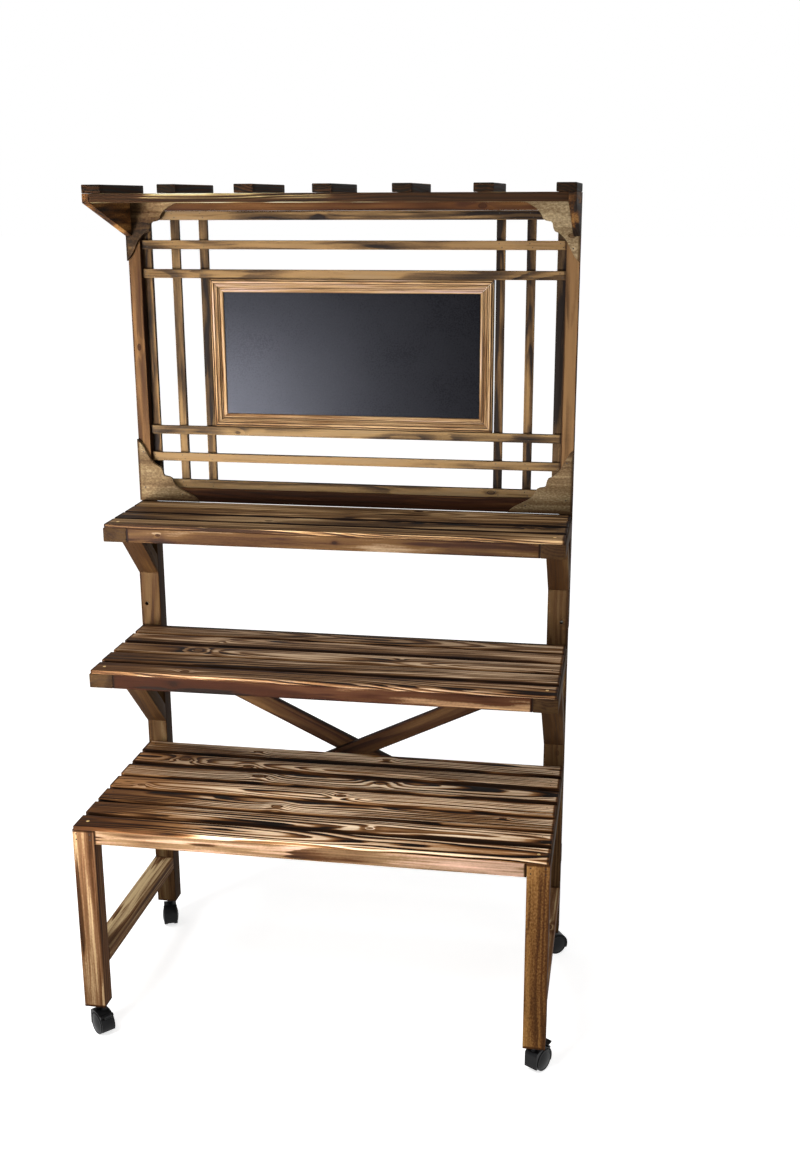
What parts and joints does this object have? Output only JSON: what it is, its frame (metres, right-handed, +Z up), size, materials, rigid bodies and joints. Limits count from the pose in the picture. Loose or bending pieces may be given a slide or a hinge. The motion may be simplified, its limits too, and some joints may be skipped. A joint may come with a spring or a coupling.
{
  "type": "wheeled display rack",
  "caption": "Slatted wooden display rack on swivel casters, with stepped shelves, a trellis back that carries a framed chalkboard, and a slatted canopy.",
  "frame": {"origin": "on the floor, on the rack's middle plane, under the middle of its depth over the casters; the stored headings of the right casters put the middle of the whole box about 10 mm to the right of it", "axes": "+X along the shelves to the right as one faces the front, +Y from the front to the trellis back, +Z up"},
  "size_m": [0.9804, 0.5456, 1.715],
  "materials": {
    "post_wood": "charred and brushed softwood, clear matt stain",
    "slat_wood": "charred and brushed softwood slats with dark scorched edges",
    "apron_wood": "charred and brushed softwood, warmer tone",
    "trellis_wood": "charred and brushed softwood laths",
    "frame_wood": "moulded softwood, light satin",
    "canopy_wood": "weathered softwood, matt",
    "blackboard": "satin blackboard paint",
    "black_plastic": "moulded nylon",
    "black_steel": "black zinc",
    "steel": "zinc plated"
  },
  "bodies": {
    "rack": {"left_back_post": "post_wood", "right_back_post": "post_wood", "left_front_leg": "post_wood", "right_front_leg": "post_wood", "left_stretcher": "post_wood", "right_stretcher": "post_wood", "top_shelf_slats": "slat_wood", "middle_shelf_slats": "slat_wood", "bottom_shelf_slats": "slat_wood", "top_side_rails": "post_wood", "middle_side_rails": "post_wood", "bottom_side_rails": "post_wood", "top_apron": "apron_wood", "middle_apron": "apron_wood", "bottom_apron": "apron_wood", "top_left_brace": "post_wood", "top_right_brace": "post_wood", "middle_left_brace": "post_wood", "middle_right_brace": "post_wood", "cross_board_front": "trellis_wood", "cross_board_back": "trellis_wood", "left_panel_post": "trellis_wood", "right_panel_post": "trellis_wood", "panel_top_rail": "trellis_wood", "panel_bottom_rail": "trellis_wood", "trellis_level_slats": "trellis_wood", "trellis_upright_slats": "trellis_wood", "chalkboard_frame": "frame_wood", "chalkboard_panel": "blackboard", "upper_left_bracket": "post_wood", "upper_right_bracket": "post_wood", "lower_left_bracket": "post_wood", "lower_right_bracket": "post_wood", "canopy_boards": "canopy_wood", "canopy_front_rail": "canopy_wood", "left_gusset": "canopy_wood", "right_gusset": "canopy_wood", "panel_bolts": "steel", "insert_nuts": "steel", "caster_stems": "black_steel", "caster_sockets": "black_steel"},
    "front_left_caster": {"front_left_caster_cover": "black_plastic", "front_left_axle": "steel"},
    "front_left_left_wheel": {"front_left_caster_left_wheel": "black_plastic"},
    "front_left_right_wheel": {"front_left_caster_right_wheel": "black_plastic"},
    "front_left_pedal": {"front_left_brake_pedal": "black_plastic"},
    "front_right_caster": {"front_right_caster_cover": "black_plastic", "front_right_axle": "steel"},
    "front_right_left_wheel": {"front_right_caster_left_wheel": "black_plastic"},
    "front_right_right_wheel": {"front_right_caster_right_wheel": "black_plastic"},
    "front_right_pedal": {"front_right_brake_pedal": "black_plastic"},
    "back_left_caster": {"back_left_caster_cover": "black_plastic", "back_left_axle": "steel"},
    "back_left_left_wheel": {"back_left_caster_left_wheel": "black_plastic"},
    "back_left_right_wheel": {"back_left_caster_right_wheel": "black_plastic"},
    "back_right_caster": {"back_right_caster_cover": "black_plastic", "back_right_axle": "steel"},
    "back_right_left_wheel": {"back_right_caster_left_wheel": "black_plastic"},
    "back_right_right_wheel": {"back_right_caster_right_wheel": "black_plastic"}
  },
  "joints": [
    {"name": "front_left_swivel", "type": "hinge", "parent": "rack", "child": "front_left_caster", "pos_m": [-0.4575, -0.234, 0.062], "axis": [0, 0, 1], "continuous": true},
    {"name": "front_left_left_wheel_roll", "type": "hinge", "parent": "front_left_caster", "child": "front_left_left_wheel", "pos_m": [-0.4463, -0.24398, 0.0225], "axis": [0.6652, 0.7466, 0], "continuous": true},
    {"name": "front_left_right_wheel_roll", "type": "hinge", "parent": "front_left_caster", "child": "front_left_right_wheel", "pos_m": [-0.4463, -0.24398, 0.0225], "axis": [0.6652, 0.7466, 0], "continuous": true},
    {"name": "front_left_brake", "type": "hinge", "parent": "front_left_caster", "child": "front_left_pedal", "pos_m": [-0.43334, -0.25552, 0.04318], "axis": [0.6652, 0.7466, 0], "range_deg": [0, 30]},
    {"name": "front_right_swivel", "type": "hinge", "parent": "rack", "child": "front_right_caster", "pos_m": [0.4575, -0.234, 0.062], "axis": [0, 0, 1], "continuous": true},
    {"name": "front_right_left_wheel_roll", "type": "hinge", "parent": "front_right_caster", "child": "front_right_left_wheel", "pos_m": [0.46536, -0.22122, 0.0225], "axis": [-0.8517, 0.524, 0], "continuous": true},
    {"name": "front_right_right_wheel_roll", "type": "hinge", "parent": "front_right_caster", "child": "front_right_right_wheel", "pos_m": [0.46536, -0.22122, 0.0225], "axis": [-0.8517, 0.524, 0], "continuous": true},
    {"name": "front_right_brake", "type": "hinge", "parent": "front_right_caster", "child": "front_right_pedal", "pos_m": [0.47445, -0.20644, 0.04318], "axis": [-0.8517, 0.524, 0], "range_deg": [0, 30]},
    {"name": "back_left_swivel", "type": "hinge", "parent": "rack", "child": "back_left_caster", "pos_m": [-0.4575, 0.222, 0.062], "axis": [0, 0, 1], "continuous": true},
    {"name": "back_left_left_wheel_roll", "type": "hinge", "parent": "back_left_caster", "child": "back_left_left_wheel", "pos_m": [-0.4522, 0.20797, 0.0225], "axis": [0.9354, 0.3535, 0], "continuous": true},
    {"name": "back_left_right_wheel_roll", "type": "hinge", "parent": "back_left_caster", "child": "back_left_right_wheel", "pos_m": [-0.4522, 0.20797, 0.0225], "axis": [0.9354, 0.3535, 0], "continuous": true},
    {"name": "back_right_swivel", "type": "hinge", "parent": "rack", "child": "back_right_caster", "pos_m": [0.4575, 0.222, 0.062], "axis": [0, 0, 1], "continuous": true},
    {"name": "back_right_left_wheel_roll", "type": "hinge", "parent": "back_right_caster", "child": "back_right_left_wheel", "pos_m": [0.47022, 0.22995, 0.0225], "axis": [-0.5299, 0.848, 0], "continuous": true},
    {"name": "back_right_right_wheel_roll", "type": "hinge", "parent": "back_right_caster", "child": "back_right_right_wheel", "pos_m": [0.47022, 0.22995, 0.0225], "axis": [-0.5299, 0.848, 0], "continuous": true}
  ]
}
